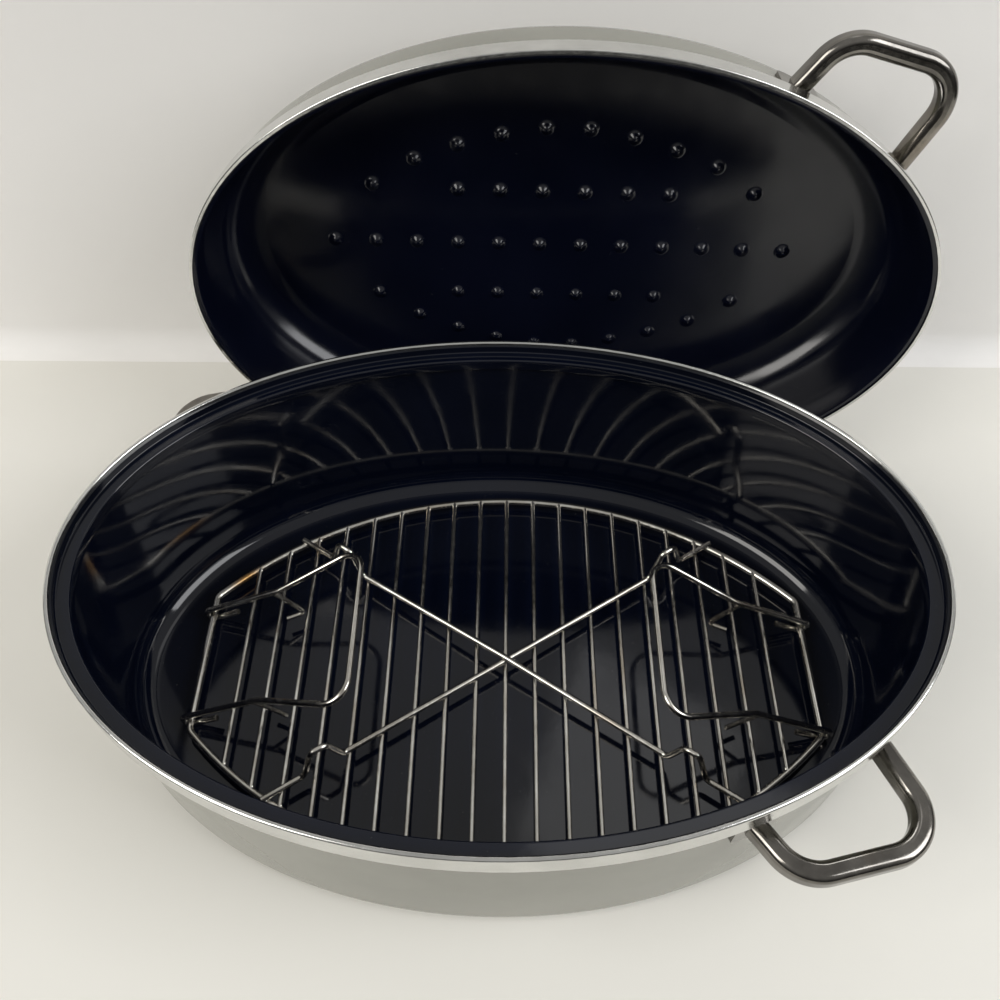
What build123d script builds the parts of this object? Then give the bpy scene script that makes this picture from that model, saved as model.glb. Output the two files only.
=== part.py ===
from build123d import *
import math
import os

# Oval roasting pan with its lid and its wire rack. All sizes in mm.
# X runs along the oval, Y across it, Z up; the origin is the centre of the pan's flat base.

# pan
RIM_A = 208.0  # inner half length of the pan's bead
RIM_B = 139.6  # inner half width of the pan's bead
PAN_H = 120.0  # top of the bead above the table
SHEET = 1.6  # enamelled steel of the pan
BEAD_W = 2.6  # width and height of the rolled bead
SKIRT_T = 0.6  # rim band sheet
SKIRT_H = 13.4  # height of the collar below the bead's top
WALL_IN = 3.5  # pan wall's outer face, inward of the bead's inner edge
LEDGE_DROP = 6.6  # lid seat below the bead's top
LEDGE_W = 6.9  # width of the lid seat
STEP_DROP = 13.7  # lower end of the stepped neck below the bead's top
UPSTAND_IN = 0.5  # inner face of the upstand, inward of the bead's inner edge
BASE_R = 13.6  # outer radius between wall and base
LEDGE_R = 1.2  # rounding on the lid seat's inner edge
NECK_R = 0.9  # rounding on the neck's lower edge

# handles, in plan about the middle of the two roots
HANDLE_TURN = 46.2  # place on the oval wall, as the oval's parameter in degrees
HANDLE_ANGLE = 61.4  # direction the handle points, from the long axis
HANDLE_HALF = 35.5  # half spacing of the two legs
LEG_SHORT = 26.8
LEG_LONG = 44.0
LEG_TOE_SHORT = 3.3  # legs lean together by these amounts
LEG_TOE_LONG = 3.6
HANDLE_T = 9.8  # width of the grip seen from above
HANDLE_H = 11.5  # height of the grip
HANDLE_BEND = 20.0  # centre radius of the two corners
HANDLE_EDGE = 3.8  # rounding of the grip
HANDLE_DROP = 38.0  # grip centre below the pan's bead top
LEG_SINK = 12.0  # length the legs are drawn past their roots before trimming
PLATE_T = 1.8  # weld plate
PLATE_W = 22.0
PLATE_H = 15.0
PLATE_R = 2.4

# rack
RACK_X = 3.7  # rack centre in the pan
RACK_Y = -0.8
HOOP_WIRE = 4.0
HOOP_END_GAP = 21.2  # end wires' centre line to the end of the flat floor
HOOP_SIDE_GAP = 8.7  # the same at the long sides
HOOP_ARC = 236.0  # plan radius of the long sides
HOOP_CORNER = 6.0
ROD_WIRE = 2.5
ROD_COUNT = 19
ROD_INSET = 22.1  # first rod, inward of the end wire
ROD_RISE = 0.7  # rod centres above the hoop's
WELD_GAP = 0.05
DIAG_WIRE = 3.2
DIAG_ANGLE = 33.0  # direction of the diagonals in plan
DIAG_OVER = 1.7  # length past the hoop's centre line
BUMP_INSET = 24.1  # foot of the upright bend, inward of the wire's end
BUMP_FOOT = 22.0  # width of the bend at its feet
BUMP_TOP = 8.5  # width at its top
BUMP_LEAN = 7.0  # the outer leg's run in plan
BUMP_H = 20.0
BUMP_R = 4.0
FLOOR_GAP = 0.7

# bails
BAIL_WIRE = 3.4
EYE_GAP = 0.45  # play between hoop wire and eye
BAIL_TILT = 26.5  # rest angle above the rack
BAIL_PLAY = 6.4  # room each side for the eyes along the straight end wire
BAIL_WAIST_R = 48.0  # arms run parallel up to here, then flare
BAIL_REACH = 104.0
BAIL_FLARE = 14.5  # each arm spreads by this much
BAIL_CORNER = 12.0
TAIL_L = 14.0
BAIL_LEFT_SHARE = -0.4  # where each bail sits, as a share of its play
BAIL_RIGHT_SHARE = -1.15
PROP_WIRE = 2.6
PROP_ARM = 45.0  # weld point along the arm
PROP_KNEE = 54.0  # plan reach of the knee from the hinge
PROP_TOE = 43.5
PROP_KNEE_IN = 0.5  # knee and toe, inward of the arm
PROP_TOE_IN = 5.0
PROP_BEND = 2.2
PROP_GAP = 0.3

# lid, drawn in its own frame: rim in the local XY plane, dome towards local -Z
LID_FIT = 3.7  # room between the pan's upstand and the lid's band
LID_DEPTH = 64.0
LID_SHEET = 1.4
LID_BAND_T = 0.6
LID_BAND_D = 12.0  # depth of the lid's collar
LID_BEAD_W = 1.8
LID_BEAD_D = 1.2
LID_WALL_IN = 2.9  # wall's outer face at the rim, inward of the band's outer face
LID_TAPER = 3.2  # wall leans in by this much over the whole depth
LID_SHOULDER = 25.0
LID_FLANGE_D = 1.4
LID_HANDLE_W = 26.0  # grip centre behind the rim plane
LID_LEG_MORE = 2.2  # legs of the lid's handles, longer than the pan's by this
LID_X = 34.0  # rim centre in the shared frame
LID_CLEAR = 6.0  # room between the standing lid and the pan's far handle
LID_LEAN = 7.0
LID_ROLL = -1.4
TABLE_GAP = 0.4

# drops on the lid's inside
DROP_PITCH = 24.2
DROP_ROW = 34.0
DROP_R = 3.2
DROP_TIP = 1.2
DROP_H = 2.4
DIMPLE_R = 2.4
DIMPLE_TIP = 0.9
DIMPLE_H = 1.3
DROP_ARCH_SHARES = (0.523, 0.493, 0.446, 0.379, 0.265)  # of the lid's half width
DROP_MID = 6  # drops each side of the middle row's centre
DROP_SIDE = 3  # the same on the two rows beside it

os.makedirs("parts", exist_ok=True)


def oval(a, b, z0, z1):
    """A solid elliptic disc from z0 up to z1."""
    return Pos(0, 0, z0) * extrude(Ellipse(a, b), z1 - z0)


def wire(path, diameter):
    """A round wire along a path."""
    return sweep(Plane(origin=path @ 0, z_dir=path % 0) * Circle(diameter / 2), path=path)


def round_corners(face, corners):
    """Round the corners of a plane face, given as (point, radius)."""
    for point, radius in corners:
        face = fillet(min(face.vertices(), key=lambda v: (v.center() - point).length), radius)
    return face


def shift_line(p, q, side):
    """The line p-q moved sideways."""
    d = (q - p).normalized()
    off = Vector(-d.Y, d.X) * side
    return p + off, d


def meet(a, b):
    """Where two plane lines cross; each is a point and a direction."""
    (p, u), (q, v) = a, b
    t = ((q.X - p.X) * v.Y - (q.Y - p.Y) * v.X) / (u.X * v.Y - u.Y * v.X)
    return p + u * t


# pan
wall_a, wall_b = RIM_A - WALL_IN, RIM_B - WALL_IN
flange_in = UPSTAND_IN - SHEET
neck_in = UPSTAND_IN + LEDGE_W
ledge_z = PAN_H - LEDGE_DROP
step_z = PAN_H - STEP_DROP
bead_z = PAN_H - BEAD_W

shell = oval(wall_a, wall_b, 0, step_z + SHEET)
shell = fillet(shell.edges().group_by(Axis.Z)[0], BASE_R)
shell += oval(RIM_A - neck_in + SHEET, RIM_B - neck_in + SHEET, step_z, ledge_z)
shell += oval(RIM_A - flange_in, RIM_B - flange_in, ledge_z - SHEET, bead_z)
hollow = oval(wall_a - SHEET, wall_b - SHEET, SHEET, step_z)
hollow = fillet(hollow.edges().group_by(Axis.Z)[0], BASE_R - SHEET)
neck = oval(RIM_A - neck_in, RIM_B - neck_in, step_z, ledge_z)
seat = oval(RIM_A - UPSTAND_IN, RIM_B - UPSTAND_IN, ledge_z, PAN_H)
pan_body = shell - hollow - neck - seat
for z, radius in ((ledge_z, LEDGE_R), (step_z, NECK_R)):
    edges = [
        e for e in pan_body.edges().filter_by_position(Axis.Z, z, z)
        if abs(e.bounding_box().max.X - (RIM_A - neck_in)) < SHEET / 2
    ]
    pan_body = fillet(edges, radius)

band_out = oval(RIM_A + BEAD_W, RIM_B + BEAD_W, PAN_H - SKIRT_H, PAN_H)
band_out = fillet(band_out.edges().group_by(Axis.Z)[-1], BEAD_W * 0.45)
band_gap = oval(
    RIM_A + BEAD_W - SKIRT_T, RIM_B + BEAD_W - SKIRT_T, PAN_H - SKIRT_H + SKIRT_T, bead_z
)
band_mouth = oval(RIM_A, RIM_B, bead_z, PAN_H)
pan_band = band_out - band_gap - band_mouth - oval(wall_a, wall_b, 0, step_z + SHEET)
pan_band -= oval(wall_a - SHEET, wall_b - SHEET, step_z, PAN_H)
lip = [
    e for e in pan_band.edges().filter_by_position(Axis.Z, PAN_H, PAN_H)
    if e.bounding_box().max.X < RIM_A + BEAD_W * 0.3
]
pan_band = fillet(lip, BEAD_W * 0.45)


def grip_outline(a, b, side, more):
    """Plan outline of a handle on an oval of half sizes a and b; side is the sign of its Y."""
    out = Vector(math.cos(math.radians(HANDLE_ANGLE)), side * math.sin(math.radians(HANDLE_ANGLE)))
    along = Vector(-side * out.Y, side * out.X) * side
    along = along if along.X > 0 else along * -1
    turn = math.radians(HANDLE_TURN)
    mid = Vector(a * math.cos(turn), side * b * math.sin(turn))

    def at(c, n):
        return mid + along * c + out * n

    root_a, root_b = at(-HANDLE_HALF, 0), at(HANDLE_HALF, 0)
    knee_a = at(-HANDLE_HALF + LEG_TOE_SHORT, LEG_SHORT + more)
    knee_b = at(HANDLE_HALF - LEG_TOE_LONG, LEG_LONG + more)
    tail_a = root_a - (knee_a - root_a).normalized() * LEG_SINK
    tail_b = root_b - (knee_b - root_b).normalized() * LEG_SINK
    spine = [tail_a, knee_a, knee_b, tail_b]
    sides = []
    for s in (HANDLE_T / 2, -HANDLE_T / 2):
        lines = [shift_line(p, q, s) for p, q in zip(spine, spine[1:])]
        sides.append([
            lines[0][0],
            meet(lines[0], lines[1]),
            meet(lines[1], lines[2]),
            lines[2][0] + (tail_b - knee_b),
        ])
    first, second = sides
    outer, inner = (first, second)
    if (first[1] - mid).length < (second[1] - mid).length:
        outer, inner = (second, first)
    face = make_face(Polyline(*outer, *inner[::-1], close=True))
    big, small = HANDLE_BEND + HANDLE_T / 2, HANDLE_BEND - HANDLE_T / 2
    corners = [(outer[1], big), (outer[2], big)]
    corners += [(inner[1], small), (inner[2], small)]
    return round_corners(face, corners), root_a, root_b


def handle(a, b, side, z_mid, wall, more=0):
    """Grip and its two weld plates on a wall whose half sizes at the grip are a and b."""
    face, root_a, root_b = grip_outline(a, b, side, more)
    grip = Pos(0, 0, z_mid - HANDLE_H / 2) * extrude(face, HANDLE_H)
    rims = grip.edges().group_by(Axis.Z)
    long_rims = [
        e for e in rims[0] + rims[-1] if e.length > HANDLE_T * 1.01 or e.geom_type == GeomType.CIRCLE
    ]
    grip = fillet(long_rims, HANDLE_EDGE)
    low, high = z_mid - PLATE_H / 2, z_mid + PLATE_H / 2
    grip -= oval(a + PLATE_T, b + PLATE_T, low, high)
    ring = oval(a + PLATE_T, b + PLATE_T, low - PLATE_T, high + PLATE_T) - wall
    plates = []
    for root in (root_a, root_b):
        t = math.atan2(root.Y / b, root.X / a)
        spot = Vector(a * math.cos(t), b * math.sin(t))
        turn = math.degrees(math.atan2(math.sin(t) / b, math.cos(t) / a))
        block = Rot(0, 90, 0) * extrude(RectangleRounded(PLATE_H, PLATE_W, PLATE_R), PLATE_W, both=True)
        plates.append(ring & (Pos(spot.X, spot.Y, z_mid) * Rot(0, 0, turn) * block))
    return grip, plates


half_turn = Rot(0, 0, 180)
grip_z = PAN_H - HANDLE_DROP
grip, plates = handle(wall_a, wall_b, -1, grip_z, oval(wall_a, wall_b, 0, PAN_H))
far_grip = half_turn * grip
nodes = {
    "pan_body": pan_body,
    "pan_rim_band": pan_band,
    "pan_handle_near": grip,
    "pan_handle_near_plate_1": plates[0],
    "pan_handle_near_plate_2": plates[1],
    "pan_handle_far": far_grip,
    "pan_handle_far_plate_1": half_turn * plates[0],
    "pan_handle_far_plate_2": half_turn * plates[1],
}

# rack
eye_r = HOOP_WIRE / 2 + EYE_GAP + BAIL_WIRE / 2
hoop_z = SHEET + FLOOR_GAP + eye_r + BAIL_WIRE / 2
rod_z = hoop_z + ROD_RISE
diag_z = hoop_z + HOOP_WIRE / 2 + WELD_GAP + DIAG_WIRE / 2
rack_at = Pos(RACK_X, RACK_Y, 0)
hoop_half = wall_a - BASE_R - HOOP_END_GAP
hoop_bulge = wall_b - BASE_R - HOOP_SIDE_GAP
arc_y = hoop_bulge - HOOP_ARC  # centre of the long sides' arcs


def hoop_y(x):
    """Half width of the hoop's centre line at x."""
    return arc_y + math.sqrt(HOOP_ARC**2 - x**2)


end_y = hoop_y(hoop_half)
plan = Polyline((hoop_half, -end_y), (hoop_half, end_y)) + ThreePointArc(
    (hoop_half, end_y), (0, hoop_bulge), (-hoop_half, end_y)
)
plan += Polyline((-hoop_half, end_y), (-hoop_half, -end_y)) + ThreePointArc(
    (-hoop_half, -end_y), (0, -hoop_bulge), (hoop_half, -end_y)
)
hoop_face = fillet(make_face(plan).vertices(), HOOP_CORNER)
hoop = wire(Pos(0, 0, hoop_z) * hoop_face.faces()[0].outer_wire(), HOOP_WIRE)
nodes["rack_hoop"] = rack_at * hoop

rod_pitch = 2 * (hoop_half - ROD_INSET) / (ROD_COUNT - 1)
for i in range(ROD_COUNT):
    x = (i - (ROD_COUNT - 1) / 2) * rod_pitch
    half = hoop_y(x)
    rod = Pos(x, 0, rod_z) * Rot(90, 0, 0) * Cylinder(ROD_WIRE / 2, 2 * half)
    nodes[f"rack_rod_{i + 1:02d}"] = rack_at * (rod - hoop)


diag_c, diag_s = math.cos(math.radians(DIAG_ANGLE)), math.sin(math.radians(DIAG_ANGLE))


def diagonal(crown):
    """A bent wire across the rods; crown lifts its middle over the other one."""
    z, top = diag_z, diag_z + BUMP_H
    reach = arc_y * diag_s + math.sqrt(HOOP_ARC**2 - (arc_y * diag_c) ** 2) + DIAG_OVER
    foot = reach - BUMP_INSET
    knee = foot - BUMP_LEAN
    arm = [(foot - BUMP_FOOT, 0, z), (knee - BUMP_TOP, 0, top), (knee, 0, top), (foot, 0, z), (reach, 0, z)]
    left = [(-x, 0, h) for x, _, h in arm[::-1]]
    middle = [(0, 0, z + crown)] if crown else []
    return wire(FilletPolyline(*left, *middle, *arm, radius=BUMP_R), DIAG_WIRE)


nodes["rack_diagonal_low"] = rack_at * Rot(0, 0, DIAG_ANGLE) * diagonal(0)
nodes["rack_diagonal_high"] = rack_at * Rot(0, 0, -DIAG_ANGLE) * diagonal(DIAG_WIRE + WELD_GAP)

# bails, drawn lying flat: local X from the hinge towards the cross piece
corner_turn = math.pi / 2 - math.asin(hoop_half / HOOP_ARC)
straight_y = end_y - HOOP_CORNER * math.tan(corner_turn / 2)
bail_half = straight_y - BAIL_PLAY
flare_y = bail_half + BAIL_FLARE
u_path = FilletPolyline(
    (0, bail_half, eye_r), (BAIL_WAIST_R, bail_half, eye_r), (BAIL_REACH, flare_y, eye_r),
    (BAIL_REACH, -flare_y, eye_r), (BAIL_WAIST_R, -bail_half, eye_r), (0, -bail_half, eye_r),
    radius=BAIL_CORNER,
)


def eye(y):
    """The open eye and its tail at one end of a bail."""
    curl = ThreePointArc((0, y, eye_r), (-eye_r, y, 0), (0, y, -eye_r))
    return [curl, Line((0, y, -eye_r), (TAIL_L, y, -eye_r))]


bail_path = Wire(eye(bail_half)[::-1] + u_path.edges() + eye(-bail_half))
bail_flat = wire(bail_path, BAIL_WIRE)

tilt = math.radians(BAIL_TILT)
prop_h = rod_z + ROD_WIRE / 2 + PROP_GAP + PROP_WIRE / 2 - hoop_z


def in_bail(reach, y, h):
    """A point given flat above the hinge, turned into the bail's own frame."""
    return (
        reach * math.cos(tilt) + h * math.sin(tilt), y,
        h * math.cos(tilt) - reach * math.sin(tilt),
    )


def prop(side):
    """The small bent wire that is welded under an arm and rests on the rods."""
    path = FilletPolyline(
        (PROP_ARM, side * bail_half, eye_r),
        in_bail(PROP_KNEE, side * (bail_half - PROP_KNEE_IN), prop_h),
        in_bail(PROP_TOE, side * (bail_half - PROP_TOE_IN), prop_h),
        radius=PROP_BEND,
    )
    return wire(path, PROP_WIRE) - bail_flat


left_y, right_y = (RACK_Y + BAIL_PLAY * share for share in (BAIL_LEFT_SHARE, BAIL_RIGHT_SHARE))
left_at = Pos(RACK_X - hoop_half, left_y, hoop_z) * Rot(0, -BAIL_TILT, 0)
right_at = Pos(RACK_X + hoop_half, right_y, hoop_z) * Rot(0, 0, 180) * Rot(0, -BAIL_TILT, 0)
for name, at in (("left", left_at), ("right", right_at)):
    nodes[f"bail_{name}_wire"] = at * bail_flat
    nodes[f"bail_{name}_prop_1"] = at * prop(1)
    nodes[f"bail_{name}_prop_2"] = at * prop(-1)

# lid
lid_a, lid_b = RIM_A - UPSTAND_IN - LID_FIT, RIM_B - UPSTAND_IN - LID_FIT
top_a, top_b = lid_a - LID_WALL_IN, lid_b - LID_WALL_IN


def cup(a, b, depth, shoulder):
    """A tapered oval cup from the rim plane down to -depth, rounded at the bottom."""
    lean = LID_TAPER * depth / LID_DEPTH
    foot = Pos(0, 0, -depth) * Ellipse(a - lean, b - lean)
    body = loft([Sketch() + Ellipse(a, b), foot], ruled=True)
    return fillet(body.edges().group_by(Axis.Z)[0], shoulder)


flange_a, flange_b = lid_a - LID_BAND_T, lid_b - LID_BAND_T
lid_shell = cup(top_a, top_b, LID_DEPTH, LID_SHOULDER)
lid_shell += oval(flange_a, flange_b, -LID_BEAD_D - LID_FLANGE_D, -LID_BEAD_D)
lid_shell -= oval(lid_a, lid_b, -LID_BEAD_D, LID_BEAD_D)
lid_hollow = cup(
    top_a - LID_SHEET, top_b - LID_SHEET, LID_DEPTH - LID_SHEET, LID_SHOULDER - LID_SHEET
)
spots = [(s * (k + 0.5) * DROP_PITCH, 0) for k in range(DROP_MID) for s in (1, -1)]
spots += [
    (s * (k + 0.5) * DROP_PITCH, t * DROP_ROW)
    for k in range(DROP_SIDE) for s in (1, -1) for t in (1, -1)
]
spots += [
    (s * (k + 0.5) * DROP_PITCH, t * share * lid_b)
    for k, share in enumerate(DROP_ARCH_SHARES) for s in (1, -1) for t in (1, -1)
]
inside, outside = LID_SHEET - LID_DEPTH, -LID_DEPTH
drops = [Pos(x, y, inside + DROP_H / 2) * Cone(DROP_R, DROP_TIP, DROP_H) for x, y in spots]
dimples = [Pos(x, y, outside + DIMPLE_H / 2) * Cone(DIMPLE_R, DIMPLE_TIP, DIMPLE_H) for x, y in spots]
lid_body = (lid_shell - lid_hollow) - dimples + drops

lid_band = oval(lid_a, lid_b, -LID_BAND_D, 0)
lid_band = fillet(lid_band.edges().group_by(Axis.Z)[-1], LID_BEAD_D * 0.5)
lid_band -= oval(flange_a, flange_b, -LID_BAND_D + LID_BAND_T, -LID_BEAD_D)
lid_band -= oval(lid_a - LID_BEAD_W, lid_b - LID_BEAD_W, -LID_BEAD_D, 0)
lid_band -= cup(top_a, top_b, LID_DEPTH, LID_SHOULDER)

grip_lean = LID_TAPER * LID_HANDLE_W / LID_DEPTH
lid_grip, lid_plates = handle(
    top_a - grip_lean, top_b - grip_lean, 1, -LID_HANDLE_W,
    cup(top_a, top_b, LID_DEPTH, LID_SHOULDER), LID_LEG_MORE,
)
lid_parts = {
    "lid_body": lid_body,
    "lid_rim_band": lid_band,
    "lid_handle_upper": lid_grip,
    "lid_handle_upper_plate_1": lid_plates[0],
    "lid_handle_upper_plate_2": lid_plates[1],
    "lid_handle_lower": half_turn * lid_grip,
    "lid_handle_lower_plate_1": half_turn * lid_plates[0],
    "lid_handle_lower_plate_2": half_turn * lid_plates[1],
}
lean, roll = math.radians(LID_LEAN), math.radians(LID_ROLL)
lid_up = Vector(0, math.sin(lean), math.cos(lean))
lid_x = Vector(1, 0, 0) * math.cos(roll) + lid_up * math.sin(roll)
lid_facing = Vector(0, -math.cos(lean), math.sin(lean))
leaning = Plane(origin=(0, 0, 0), x_dir=lid_x, z_dir=lid_facing).location
lid_stood = {k: leaning * v for k, v in lid_parts.items()}
rise = TABLE_GAP - min(v.bounding_box().min.Z for v in lid_stood.values())
far_top = Vector(0, far_grip.bounding_box().max.Y, grip_z + HANDLE_H / 2)
lid_y = far_top.Y + LID_CLEAR + (rise - far_top.Z) * math.tan(lean)
for name, solid in lid_stood.items():
    nodes[name] = Pos(LID_X, lid_y, rise) * solid

for name, shape in nodes.items():
    solids = shape.solids()
    assert len(solids) == 1, f"{name}: {len(solids)} solids"
    export_step(solids[0], f"parts/{name}.step")
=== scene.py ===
import math

import bmesh
import bpy
from mathutils import Matrix, Vector, geometry


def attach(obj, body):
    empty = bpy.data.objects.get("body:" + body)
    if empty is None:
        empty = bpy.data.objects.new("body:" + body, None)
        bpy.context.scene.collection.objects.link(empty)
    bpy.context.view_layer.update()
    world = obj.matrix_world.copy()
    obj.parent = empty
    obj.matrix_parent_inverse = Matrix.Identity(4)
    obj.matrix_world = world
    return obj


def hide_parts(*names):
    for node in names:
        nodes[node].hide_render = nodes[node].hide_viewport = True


# Oval roasting pan with its wire rack and its lid, dressed for rendering.
# The scene is in metres. Sizes of the pieces are written in millimetres and scaled by MM.

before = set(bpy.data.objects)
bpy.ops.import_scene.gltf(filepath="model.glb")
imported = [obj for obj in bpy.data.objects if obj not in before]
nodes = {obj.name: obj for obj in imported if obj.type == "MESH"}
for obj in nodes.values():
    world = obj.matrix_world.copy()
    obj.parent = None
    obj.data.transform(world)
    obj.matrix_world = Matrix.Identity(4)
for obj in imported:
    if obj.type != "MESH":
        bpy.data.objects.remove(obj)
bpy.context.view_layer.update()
scene = bpy.context.scene
MM = 0.001


def place(name, data):
    """A new object in the scene."""
    made = bpy.data.objects.new(name, data)
    scene.collection.objects.link(made)
    return made


# camera, fitted to the photograph
PITCH, YAW = math.radians(52.85), math.radians(-0.577)
CAMERA_AT = Vector((3.07, -248.5, 487.1)) * MM
LENS, SENSOR = 33.99, 36
CLIP_NEAR, CLIP_FAR = 0.01, 20

forward = Vector((
    math.sin(YAW) * math.cos(PITCH), math.cos(YAW) * math.cos(PITCH), -math.sin(PITCH)
))
right = Vector((math.cos(YAW), -math.sin(YAW), 0))
up = right.cross(forward)
camera = place("camera", bpy.data.cameras.new("camera"))
camera.data.sensor_width = SENSOR
camera.data.lens = LENS
camera.data.clip_start, camera.data.clip_end = CLIP_NEAR, CLIP_FAR
camera.matrix_world = Matrix.Translation(CAMERA_AT) @ Matrix((right, up, -forward)).transposed().to_4x4()
scene.camera = camera


# material helpers
def new_material(name):
    mat = bpy.data.materials.new(name)
    mat.use_nodes = True
    tree = mat.node_tree
    tree.nodes.clear()
    out = tree.nodes.new("ShaderNodeOutputMaterial")
    return mat, tree, out


def node(tree, kind, **values):
    made = tree.nodes.new(kind)
    for key, value in values.items():
        if key in made.inputs:
            made.inputs[key].default_value = value
        else:
            setattr(made, key, value)
    return made


def link(tree, source, target):
    tree.links.new(source, target)


def noise(tree, coords, scale, detail=3.0, rough=0.5):
    made = node(tree, "ShaderNodeTexNoise", Scale=scale, Detail=detail, Roughness=rough)
    link(tree, coords, made.inputs["Vector"])
    return made.outputs["Fac"]


def spread(tree, value, low, high, to_low=0, to_high=1):
    """The value, mapped from low...high to to_low...to_high and held there."""
    made = node(tree, "ShaderNodeMapRange")
    for key, number in zip(("From Min", "From Max", "To Min", "To Max"), (low, high, to_low, to_high)):
        made.inputs[key].default_value = number
    link(tree, value, made.inputs["Value"])
    return made.outputs["Result"]


def blend_colour(tree, factor, first, second):
    made = node(tree, "ShaderNodeMix", data_type="RGBA")
    link(tree, factor, made.inputs["Factor"])
    for socket, colour in ((made.inputs[6], first), (made.inputs[7], second)):
        if isinstance(colour, bpy.types.NodeSocket):
            link(tree, colour, socket)
        else:
            socket.default_value = (*colour, 1)
    return made.outputs[2]


def bump(tree, height, distance):
    made = node(tree, "ShaderNodeBump", Distance=distance, Strength=1.0)
    link(tree, height, made.inputs["Height"])
    return made.outputs["Normal"]


# noise scales of the enamel, per metre, and its surface
ENAMEL_CLOUD, ENAMEL_WEAR, ENAMEL_PEEL, ENAMEL_DUST = 14.0, 45.0, 160.0, 900.0
ENAMEL_IOR = 1.5
PEEL_DEPTH = 0.000012
DUST_COLOUR = (0.16, 0.155, 0.14)


def enamel(name, dark, pale, rough_low, rough_high, specks):
    """Glossy vitreous enamel with faint orange peel and a few dull marks."""
    mat, tree, out = new_material(name)
    coords = node(tree, "ShaderNodeTexCoord").outputs["Object"]
    shader = node(tree, "ShaderNodeBsdfPrincipled", Metallic=0.0, IOR=ENAMEL_IOR)
    cloud = noise(tree, coords, ENAMEL_CLOUD, 4.0)
    colour = blend_colour(tree, spread(tree, cloud, 0.35, 0.7), dark, pale)
    dust = spread(tree, noise(tree, coords, ENAMEL_DUST, 2.0), 0.74, 0.8, 0, specks)
    dusty = blend_colour(tree, dust, (0, 0, 0), DUST_COLOUR)
    total = node(tree, "ShaderNodeMix", data_type="RGBA", blend_type="ADD")
    total.inputs["Factor"].default_value = 1.0
    link(tree, colour, total.inputs[6])
    link(tree, dusty, total.inputs[7])
    link(tree, total.outputs[2], shader.inputs["Base Color"])
    wear = noise(tree, coords, ENAMEL_WEAR, 5.0)
    link(tree, spread(tree, wear, 0.3, 0.75, rough_low, rough_high), shader.inputs["Roughness"])
    link(tree, bump(tree, noise(tree, coords, ENAMEL_PEEL, 2.0), PEEL_DEPTH), shader.inputs["Normal"])
    link(tree, shader.outputs[0], out.inputs["Surface"])
    return mat


# noise scales of the steel, per metre, and its marks
STEEL_CLOUD, STEEL_STAIN, STEEL_GRAIN = 38.0, 24.0, 300.0
GRAIN_DEPTH = 0.00001
STAIN_COLOUR = (0.36, 0.25, 0.13)
RESIDUE_COLOUR = (0.50, 0.24, 0.03)
RESIDUE_NEAR, RESIDUE_FAR, RESIDUE_SHARE = 0.003, 0.013, 0.8


def steel(name, bright, dull, rough_low, rough_high, stain=0.0, residue=None):
    """Stainless steel with fine grain, cloudy polish, an optional brown stain and a spot of residue."""
    mat, tree, out = new_material(name)
    coords = node(tree, "ShaderNodeTexCoord").outputs["Object"]
    shader = node(tree, "ShaderNodeBsdfPrincipled", Metallic=1.0)
    cloud = noise(tree, coords, STEEL_CLOUD, 5.0, 0.6)
    colour = blend_colour(tree, spread(tree, cloud, 0.35, 0.68), dull, bright)
    if stain:
        spots = spread(tree, noise(tree, coords, STEEL_STAIN, 4.0), 0.56, 0.72, 0, stain)
        colour = blend_colour(tree, spots, colour, STAIN_COLOUR)
    if residue:
        away = node(tree, "ShaderNodeVectorMath", operation="DISTANCE")
        link(tree, coords, away.inputs[0])
        away.inputs[1].default_value = residue
        near = spread(tree, away.outputs["Value"], RESIDUE_NEAR, RESIDUE_FAR, RESIDUE_SHARE, 0)
        colour = blend_colour(tree, near, colour, RESIDUE_COLOUR)
    link(tree, colour, shader.inputs["Base Color"])
    fine = noise(tree, coords, STEEL_GRAIN)
    link(tree, spread(tree, fine, 0.3, 0.7, rough_low, rough_high), shader.inputs["Roughness"])
    link(tree, bump(tree, fine, GRAIN_DEPTH), shader.inputs["Normal"])
    link(tree, shader.outputs[0], out.inputs["Surface"])
    return mat


dark_enamel = enamel("dark_enamel", (0.0011, 0.0023, 0.0072), (0.0026, 0.0040, 0.0110), 0.05, 0.12, 0.5)
lid_enamel = enamel("lid_enamel", (0.0016, 0.0026, 0.0085), (0.0032, 0.0044, 0.0125), 0.13, 0.23, 0.5)
# The outsides are white enamel, but this colour is darkened to a mid grey: painted shade for the pan's
# wall under the rim and the lid's outside.
pale_enamel_painted_shade = enamel("pale_enamel_painted_shade", (0.222, 0.222, 0.187), (0.262, 0.262, 0.222), 0.10, 0.18, 0.0)
band_steel = steel("band_steel", (0.74, 0.74, 0.72), (0.60, 0.60, 0.58), 0.09, 0.20)
# The handles' steel is much darker than bright steel. Partly this is the handles' own brownish tint,
# partly painted dark reflection standing in for the dark surroundings that the polished grips mirror.
grip_steel_dark_painted_reflection = steel("grip_steel_dark_painted_reflection", (0.27, 0.255, 0.232), (0.13, 0.122, 0.112), 0.11, 0.21, 0.15)
WIRE = ((0.80, 0.78, 0.73), (0.50, 0.47, 0.42), 0.12, 0.26, 0.35)
RESIDUE_AT = (-0.1515, 0.054, 0.008)
wire_steel = steel("wire_steel", *WIRE)
hoop_steel = steel("hoop_steel", *WIRE, residue=RESIDUE_AT)


# mesh helpers
STEPS = 256  # points round each oval
SHARP = math.radians(40.0)


def new_piece(name, vertices, faces, materials, indices=None):
    mesh = bpy.data.meshes.new(name)
    mesh.from_pydata([tuple(v) for v in vertices], [], faces)
    for mat in materials:
        mesh.materials.append(mat)
    if indices:
        mesh.polygons.foreach_set("material_index", indices)
    mesh.shade_smooth()
    mesh.set_sharp_from_angle(angle=SHARP)
    mesh.validate()
    return place(name, mesh)


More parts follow.
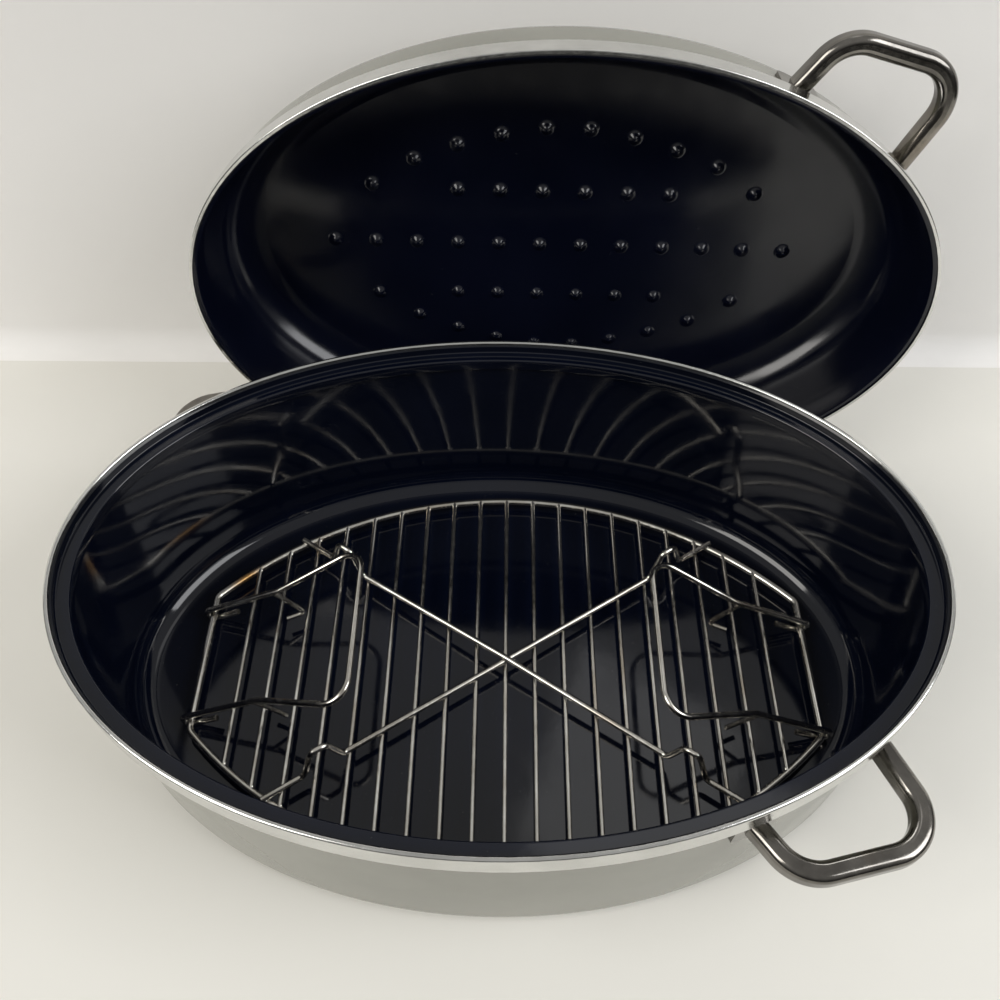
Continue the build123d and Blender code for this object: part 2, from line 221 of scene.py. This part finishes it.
def arc(centre, radius, start, end, steps):
    """Points of a profile arc; angles in degrees."""
    angles = (math.radians(start + (end - start) * i / steps) for i in range(steps + 1))
    return [(centre[0] + radius * math.cos(t), centre[1] + radius * math.sin(t)) for t in angles]


def oval_wall(a, b, outer, inner):
    """Rings, vertices, faces and material indices of an oval shell without its floors.

    The profiles are (inset, z) about an oval of half sizes a and b, the outer one first.
    """
    rings = []
    for inset, z in outer + inner:
        rings.append([
            Vector(((a - inset) * math.cos(t), (b - inset) * math.sin(t), z)) * MM
            for t in (2 * math.pi * i / STEPS for i in range(STEPS))
        ])
    faces = []
    for r in range(len(rings) - 1):
        for i in range(STEPS):
            j = (i + 1) % STEPS
            faces.append((r * STEPS + i, r * STEPS + j, (r + 1) * STEPS + j, (r + 1) * STEPS + i))
    split = (len(outer) - 1) * STEPS
    indices = [0 if k < split else 1 for k in range(len(faces))]
    return rings, [v for ring in rings for v in ring], faces, indices


# pan, about the bead's inner edge
RIM_A, RIM_B = 208.0, 139.6
SHEET = 1.6
WALL_IN, NECK_IN, UPSTAND_IN = 3.5, 7.4, 0.5
LEDGE_Z, STEP_Z, BEAD_Z = 113.4, 106.3, 117.4
WALL_LOW, WALL_HIGH = 50.0, 80.0  # rings part way up the wall
BASE_R, LEDGE_R, NECK_R, SEAT_R = 13.6, 1.2, 0.9, 0.8
BASE_STEPS, EDGE_STEPS, SEAT_STEPS = 12, 6, 5
outside = arc((WALL_IN + BASE_R, BASE_R), BASE_R, 270, 180, BASE_STEPS) + [
    (WALL_IN, WALL_LOW), (WALL_IN, WALL_HIGH), (WALL_IN, STEP_Z + SHEET),
    (NECK_IN - SHEET, STEP_Z + SHEET), (NECK_IN - SHEET, LEDGE_Z - SHEET),
    (UPSTAND_IN - SHEET, LEDGE_Z - SHEET), (UPSTAND_IN - SHEET, BEAD_Z),
]
inner_wall = WALL_IN + SHEET
inside = (
    [(UPSTAND_IN, BEAD_Z)]
    + arc((UPSTAND_IN + SEAT_R, LEDGE_Z + SEAT_R), SEAT_R, 180, 270, SEAT_STEPS)
    + arc((NECK_IN - LEDGE_R, LEDGE_Z - LEDGE_R), LEDGE_R, 90, 0, EDGE_STEPS)
    + arc((NECK_IN - NECK_R, STEP_Z + NECK_R), NECK_R, 0, -90, EDGE_STEPS)
    + [(inner_wall, STEP_Z), (inner_wall, WALL_HIGH), (inner_wall, WALL_LOW)]
    + arc((inner_wall + BASE_R - SHEET, BASE_R), BASE_R - SHEET, 180, 270, BASE_STEPS)
)


def pan_shell():
    """The drawn pan, pale outside and dark inside, with a flat floor at each end of its profile."""
    rings, verts, faces, indices = oval_wall(RIM_A, RIM_B, outside, inside)
    floors = ((0, outside[0][1], -1), (len(rings) - 1, inside[-1][1], 1))
    for index, (ring, z, turn) in enumerate(floors):
        centre = len(verts)
        verts.append(Vector((0, 0, z * MM)))
        for i in range(STEPS):
            edge = (ring * STEPS + i, ring * STEPS + (i + 1) % STEPS)
            faces.append((*edge[::turn], centre))
            indices.append(index)
    return new_piece("pan_shell", verts, faces, [pale_enamel_painted_shade, dark_enamel], indices)


pan = pan_shell()
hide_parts("pan_body")
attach(pan, "pan")

# lid, in its own frame: rim in the local XY plane, dome towards local -Z
LID_A, LID_B = 203.8, 135.4
LID_DEPTH, LID_SHEET = 64.0, 1.4
LID_AT = Vector((34.0, 151.56, 137.37)) * MM
LEAN, ROLL = math.radians(7.0), math.radians(-1.4)
lid_up = Vector((0, math.sin(LEAN), math.cos(LEAN)))
lid_x = Vector((math.cos(ROLL), 0, 0)) + lid_up * math.sin(ROLL)
lid_facing = Vector((0, -math.cos(LEAN), math.sin(LEAN)))
lid_frame = Matrix((lid_x, lid_facing.cross(lid_x), lid_facing)).transposed()

SHOULDER_IN, SHOULDER_Z = 29.88, -39.0  # the shoulder arc's centre
SHOULDER_R, SHOULDER_STEPS = 25.0, 14
SLANT = 2.86  # the wall's lean in degrees
WALL_MID = -20.0
FLANGE_Z, SEAM_Z = -2.6, -1.2
shoulder = (SHOULDER_IN, SHOULDER_Z)
lid_outer = arc(shoulder, SHOULDER_R, 270, 180 + SLANT, SHOULDER_STEPS) + [
    (3.9, WALL_MID), (3.03, FLANGE_Z), (0.6, FLANGE_Z), (0.6, SEAM_Z)
]
lid_inner = [(1.8, SEAM_Z), (3.6, SEAM_Z), (4.1, -1.4), (4.36, -1.9), (5.3, WALL_MID)]
lid_inner += arc(shoulder, SHOULDER_R - LID_SHEET, 180 + SLANT, 270, SHOULDER_STEPS)

DROP_PITCH, DROP_ROW = 24.2, 34.0
DROP_R, DROP_H = 4.9, 2.6  # rounded drops inside
DIMPLE_R, DIMPLE_H = 3.8, 1.6  # and their dimples outside
DROP_MID, DROP_SIDE = 6, 3  # drops each side of the middle, on the middle row and the rows beside it
DROP_STEPS, DROP_RINGS = 28, 7
ARCH_SHARES = (0.523, 0.493, 0.446, 0.379, 0.265)  # the outer rows, as shares of the half width
CUT_LIMIT = 1e-5
INSIDE_SHARE = 0.98  # a face this near a drop's middle belongs to the drop
MERGE = 0.00002
spots = [(s * (k + 0.5) * DROP_PITCH, 0) for k in range(DROP_MID) for s in (1, -1)]
spots += [
    (s * (k + 0.5) * DROP_PITCH, t * DROP_ROW)
    for k in range(DROP_SIDE) for s in (1, -1) for t in (1, -1)
]
spots += [
    (s * (k + 0.5) * DROP_PITCH, t * share * LID_B)
    for k, share in enumerate(ARCH_SHARES) for s in (1, -1) for t in (1, -1)
]


def circle(x, y, radius):
    """Points round a drop."""
    turns = (2 * math.pi * i / DROP_STEPS for i in range(DROP_STEPS))
    return [(x + radius * math.cos(t), y + radius * math.sin(t)) for t in turns]


def drop_floor(ring, z, radius, height):
    """Flat floor inside a ring, with a rounded drop at every spot; in millimetres."""
    flat = [Vector(p) for p in ring]
    loops = [list(range(len(ring)))]
    for x, y in spots:
        loops.append(list(range(len(flat), len(flat) + DROP_STEPS)))
        flat += [Vector(p) for p in circle(x, y, radius)]
    edges = [(a, b) for loop in loops for a, b in zip(loop, loop[1:] + loop[:1])]
    verts, _, faces, *_ = geometry.delaunay_2d_cdt(flat, edges, [], 1, CUT_LIMIT)
    kept = []
    for face in faces:
        middle = sum((verts[i] for i in face), Vector((0, 0))) / len(face)
        if all((middle - Vector(spot)).length > radius * INSIDE_SHARE for spot in spots):
            kept.append(tuple(face))
    level = len(kept)
    points = [Vector((v.x, v.y, z)) for v in verts]
    for x, y in spots:
        start = len(points)
        for k in range(DROP_RINGS):
            share = 1 - k / DROP_RINGS
            lift = height * (0.5 + 0.5 * math.cos(math.pi * share))
            points += [Vector((*p, z + lift)) for p in circle(x, y, radius * share)]
        points.append(Vector((x, y, z + height)))
        for k in range(DROP_RINGS - 1):
            low = start + k * DROP_STEPS
            for i in range(DROP_STEPS):
                j = (i + 1) % DROP_STEPS
                kept.append((low + i, low + j, low + DROP_STEPS + j, low + DROP_STEPS + i))
        last = start + (DROP_RINGS - 1) * DROP_STEPS
        for i in range(DROP_STEPS):
            kept.append((last + i, last + (i + 1) % DROP_STEPS, len(points) - 1))
    return points, kept, level


def lid_shell():
    """The drawn lid, its drops inside and their dimples outside, flat between them."""
    rings, verts, faces, indices = oval_wall(LID_A, LID_B, lid_outer, lid_inner)
    flat_faces = []
    floors = (
        (rings[0], -LID_DEPTH, DIMPLE_R, DIMPLE_H), (rings[-1], LID_SHEET - LID_DEPTH, DROP_R, DROP_H)
    )
    for index, (ring, z, radius, height) in enumerate(floors):
        points, kept, level = drop_floor([(v.x / MM, v.y / MM) for v in ring], z, radius, height)
        start = len(verts)
        verts += [p * MM for p in points]
        flat_faces += range(len(faces), len(faces) + level)
        for face in kept:
            turned = face[::-1] if index == 0 else face
            faces.append(tuple(start + i for i in turned))
            indices.append(index)
    placed = [lid_frame @ v + LID_AT for v in verts]
    made = new_piece("lid_shell", placed, faces, [pale_enamel_painted_shade, lid_enamel], indices)
    for k in flat_faces:
        made.data.polygons[k].use_smooth = False
    work = bmesh.new()
    work.from_mesh(made.data)
    bmesh.ops.remove_doubles(work, verts=work.verts, dist=MERGE)
    work.to_mesh(made.data)
    work.free()
    return made


lid = lid_shell()
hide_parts("lid_body")
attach(lid, "lid")

for name, piece in nodes.items():
    if name.endswith("rim_band"):
        piece.material_slots[0].material = band_steel
    elif "handle" in name:
        piece.material_slots[0].material = grip_steel_dark_painted_reflection
    elif name.startswith(("rack", "bail")):
        piece.material_slots[0].material = wire_steel
nodes["rack_hoop"].material_slots[0].material = hoop_steel

# weld beads of the rack
RACK_X, RACK_Y, HOOP_Z = 3.7, -0.8, 8.15
HOOP_ARC, ARC_Y = 236.0, -122.2
ROD_PITCH, ROD_SIDE = 16.4, 9
DIAGONAL, DIAGONAL_REACH = math.radians(33.0), 146.0
ROD_BEAD, ROD_BEAD_IN, ROD_BEAD_UP = (1.6, 1.5, 1.0), 1.9, 0.9
DIAGONAL_BEAD, DIAGONAL_BEAD_UP = (2.4, 1.9, 0.9), 2.0
SWELL, SWELL_X, SWELL_Y, SWELL_STEP = 0.12, 3.1, 2.7, 1.7
beads = []
for k in range(-ROD_SIDE, ROD_SIDE + 1):
    x = k * ROD_PITCH
    y = ARC_Y + math.sqrt(HOOP_ARC**2 - x**2) - ROD_BEAD_IN
    for side in (1, -1):
        beads.append((RACK_X + x, RACK_Y + side * y, HOOP_Z + ROD_BEAD_UP, ROD_BEAD, 0.0))
for turn in (DIAGONAL, -DIAGONAL, math.pi - DIAGONAL, math.pi + DIAGONAL):
    spot = (RACK_X + DIAGONAL_REACH * math.cos(turn), RACK_Y + DIAGONAL_REACH * math.sin(turn))
    beads.append((*spot, HOOP_Z + DIAGONAL_BEAD_UP, DIAGONAL_BEAD, turn))
work = bmesh.new()
for n, (x, y, z, size, turn) in enumerate(beads):
    made = bmesh.ops.create_icosphere(work, subdivisions=3, radius=1.0)
    for v in made["verts"]:
        swell = 1 + SWELL * math.sin(SWELL_X * v.co.x + n) * math.cos(SWELL_Y * v.co.y + SWELL_STEP * n)
        wide, deep, tall = v.co.x * size[0] * swell, v.co.y * size[1] * swell, v.co.z * size[2]
        v.co = Vector((
            x + wide * math.cos(turn) - deep * math.sin(turn),
            y + wide * math.sin(turn) + deep * math.cos(turn), z + tall,
        )) * MM
mesh = bpy.data.meshes.new("rack_welds")
work.to_mesh(mesh)
work.free()
mesh.materials.append(wire_steel)
mesh.shade_smooth()
welds = place("rack_welds", mesh)
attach(welds, "rack")


# floor and backdrop, in metres
STAGE_SIDE, FLOOR_FRONT, FLOOR_BACK = 1.1, -0.62, 1.1
WALL_Y, WALL_TOP = 0.262, 0.42
BEND_R, BEND_STEPS, BEND_LIFT = 0.018, 8, 0.0003
PAPER = (0.80, 0.785, 0.735)
SHEET_BEHIND = (0.91, 0.895, 0.875)
PAPER_CLOUD, PAPER_SHADE = 2.2, 0.965
PAPER_ROUGH, PAPER_GLOSS = 0.75, 0.25


def stage_material(name, colour, one_sided):
    """Matt paper with faint clouds; a one-sided one can't be seen from behind."""
    mat, tree, out = new_material(name)
    coords = node(tree, "ShaderNodeTexCoord").outputs["Object"]
    shader = node(tree, "ShaderNodeBsdfPrincipled", Roughness=PAPER_ROUGH)
    shader.inputs["Specular IOR Level"].default_value = PAPER_GLOSS
    soft = spread(tree, noise(tree, coords, PAPER_CLOUD), 0.3, 0.7)
    darker = tuple(c * PAPER_SHADE for c in colour)
    link(tree, blend_colour(tree, soft, darker, colour), shader.inputs["Base Color"])
    surface = shader.outputs[0]
    if one_sided:
        mix = node(tree, "ShaderNodeMixShader")
        link(tree, node(tree, "ShaderNodeNewGeometry").outputs["Backfacing"], mix.inputs[0])
        link(tree, surface, mix.inputs[1])
        link(tree, node(tree, "ShaderNodeBsdfTransparent").outputs[0], mix.inputs[2])
        surface = mix.outputs[0]
    link(tree, surface, out.inputs["Surface"])
    return mat


sides = (-STAGE_SIDE, STAGE_SIDE)
corners = [(x, FLOOR_FRONT, 0) for x in sides] + [(x, FLOOR_BACK, 0) for x in reversed(sides)]
floor = new_piece("floor", corners, [(0, 1, 2, 3)], [stage_material("floor_paper", PAPER, False)])
bend = [
    (WALL_Y - BEND_R + BEND_R * math.sin(t), BEND_R - BEND_R * math.cos(t) + BEND_LIFT)
    for t in (math.pi / 2 * i / BEND_STEPS for i in range(BEND_STEPS + 1))
] + [(WALL_Y, WALL_TOP)]
wall = new_piece(
    "backdrop", [(x, y, z) for y, z in bend for x in sides],
    [(2 * i, 2 * i + 1, 2 * i + 3, 2 * i + 2) for i in range(len(bend) - 1)],
    [stage_material("backdrop_paper", SHEET_BEHIND, True)],
)

# square soft lamps over the pan: name, place, side, power, colour
LAMPS = (
    ("key", (-1.1, -0.7, 1.3), 0.9, 15, (1.0, 0.975, 0.93)),
    ("fill", (1.2, -0.38, 1.1), 0.9, 13.5, (0.97, 0.98, 1.0)),
    ("back", (0.25, 0.55, 1.5), 0.35, 0.3, (1.0, 1.0, 1.0)),
)
for name, at, side, power, colour in LAMPS:
    data = bpy.data.lights.new(name, "AREA")
    data.shape = "RECTANGLE"
    data.size = data.size_y = side
    data.energy = power
    data.color = colour
    lamp = place(name, data)
    lamp.location = at
    lamp.rotation_euler = (-Vector(at)).to_track_quat("-Z", "Y").to_euler()

# world: pale to the camera and overhead, dim near the horizon
SKY_LOW, SKY_HIGH = 0.05, 0.6  # heights between which the sky brightens
SKY_DIM, SKY_BRIGHT, SKY_SEEN = 0.06, 0.45, 0.80
SKY_COLOUR = (0.96, 0.955, 0.93, 1)
world = bpy.data.worlds.new("world")
scene.world = world
world.use_nodes = True
tree = world.node_tree
background = tree.nodes["Background"]
height = node(tree, "ShaderNodeSeparateXYZ")
link(tree, node(tree, "ShaderNodeTexCoord").outputs["Generated"], height.inputs[0])
sky = spread(tree, height.outputs["Z"], SKY_LOW, SKY_HIGH, SKY_DIM, SKY_BRIGHT)
level = node(tree, "ShaderNodeMix")
link(tree, node(tree, "ShaderNodeLightPath").outputs["Is Camera Ray"], level.inputs[0])
link(tree, sky, level.inputs[2])
level.inputs[3].default_value = SKY_SEEN
link(tree, level.outputs[0], background.inputs["Strength"])
background.inputs["Color"].default_value = SKY_COLOUR

scene.view_settings.view_transform = "Standard"
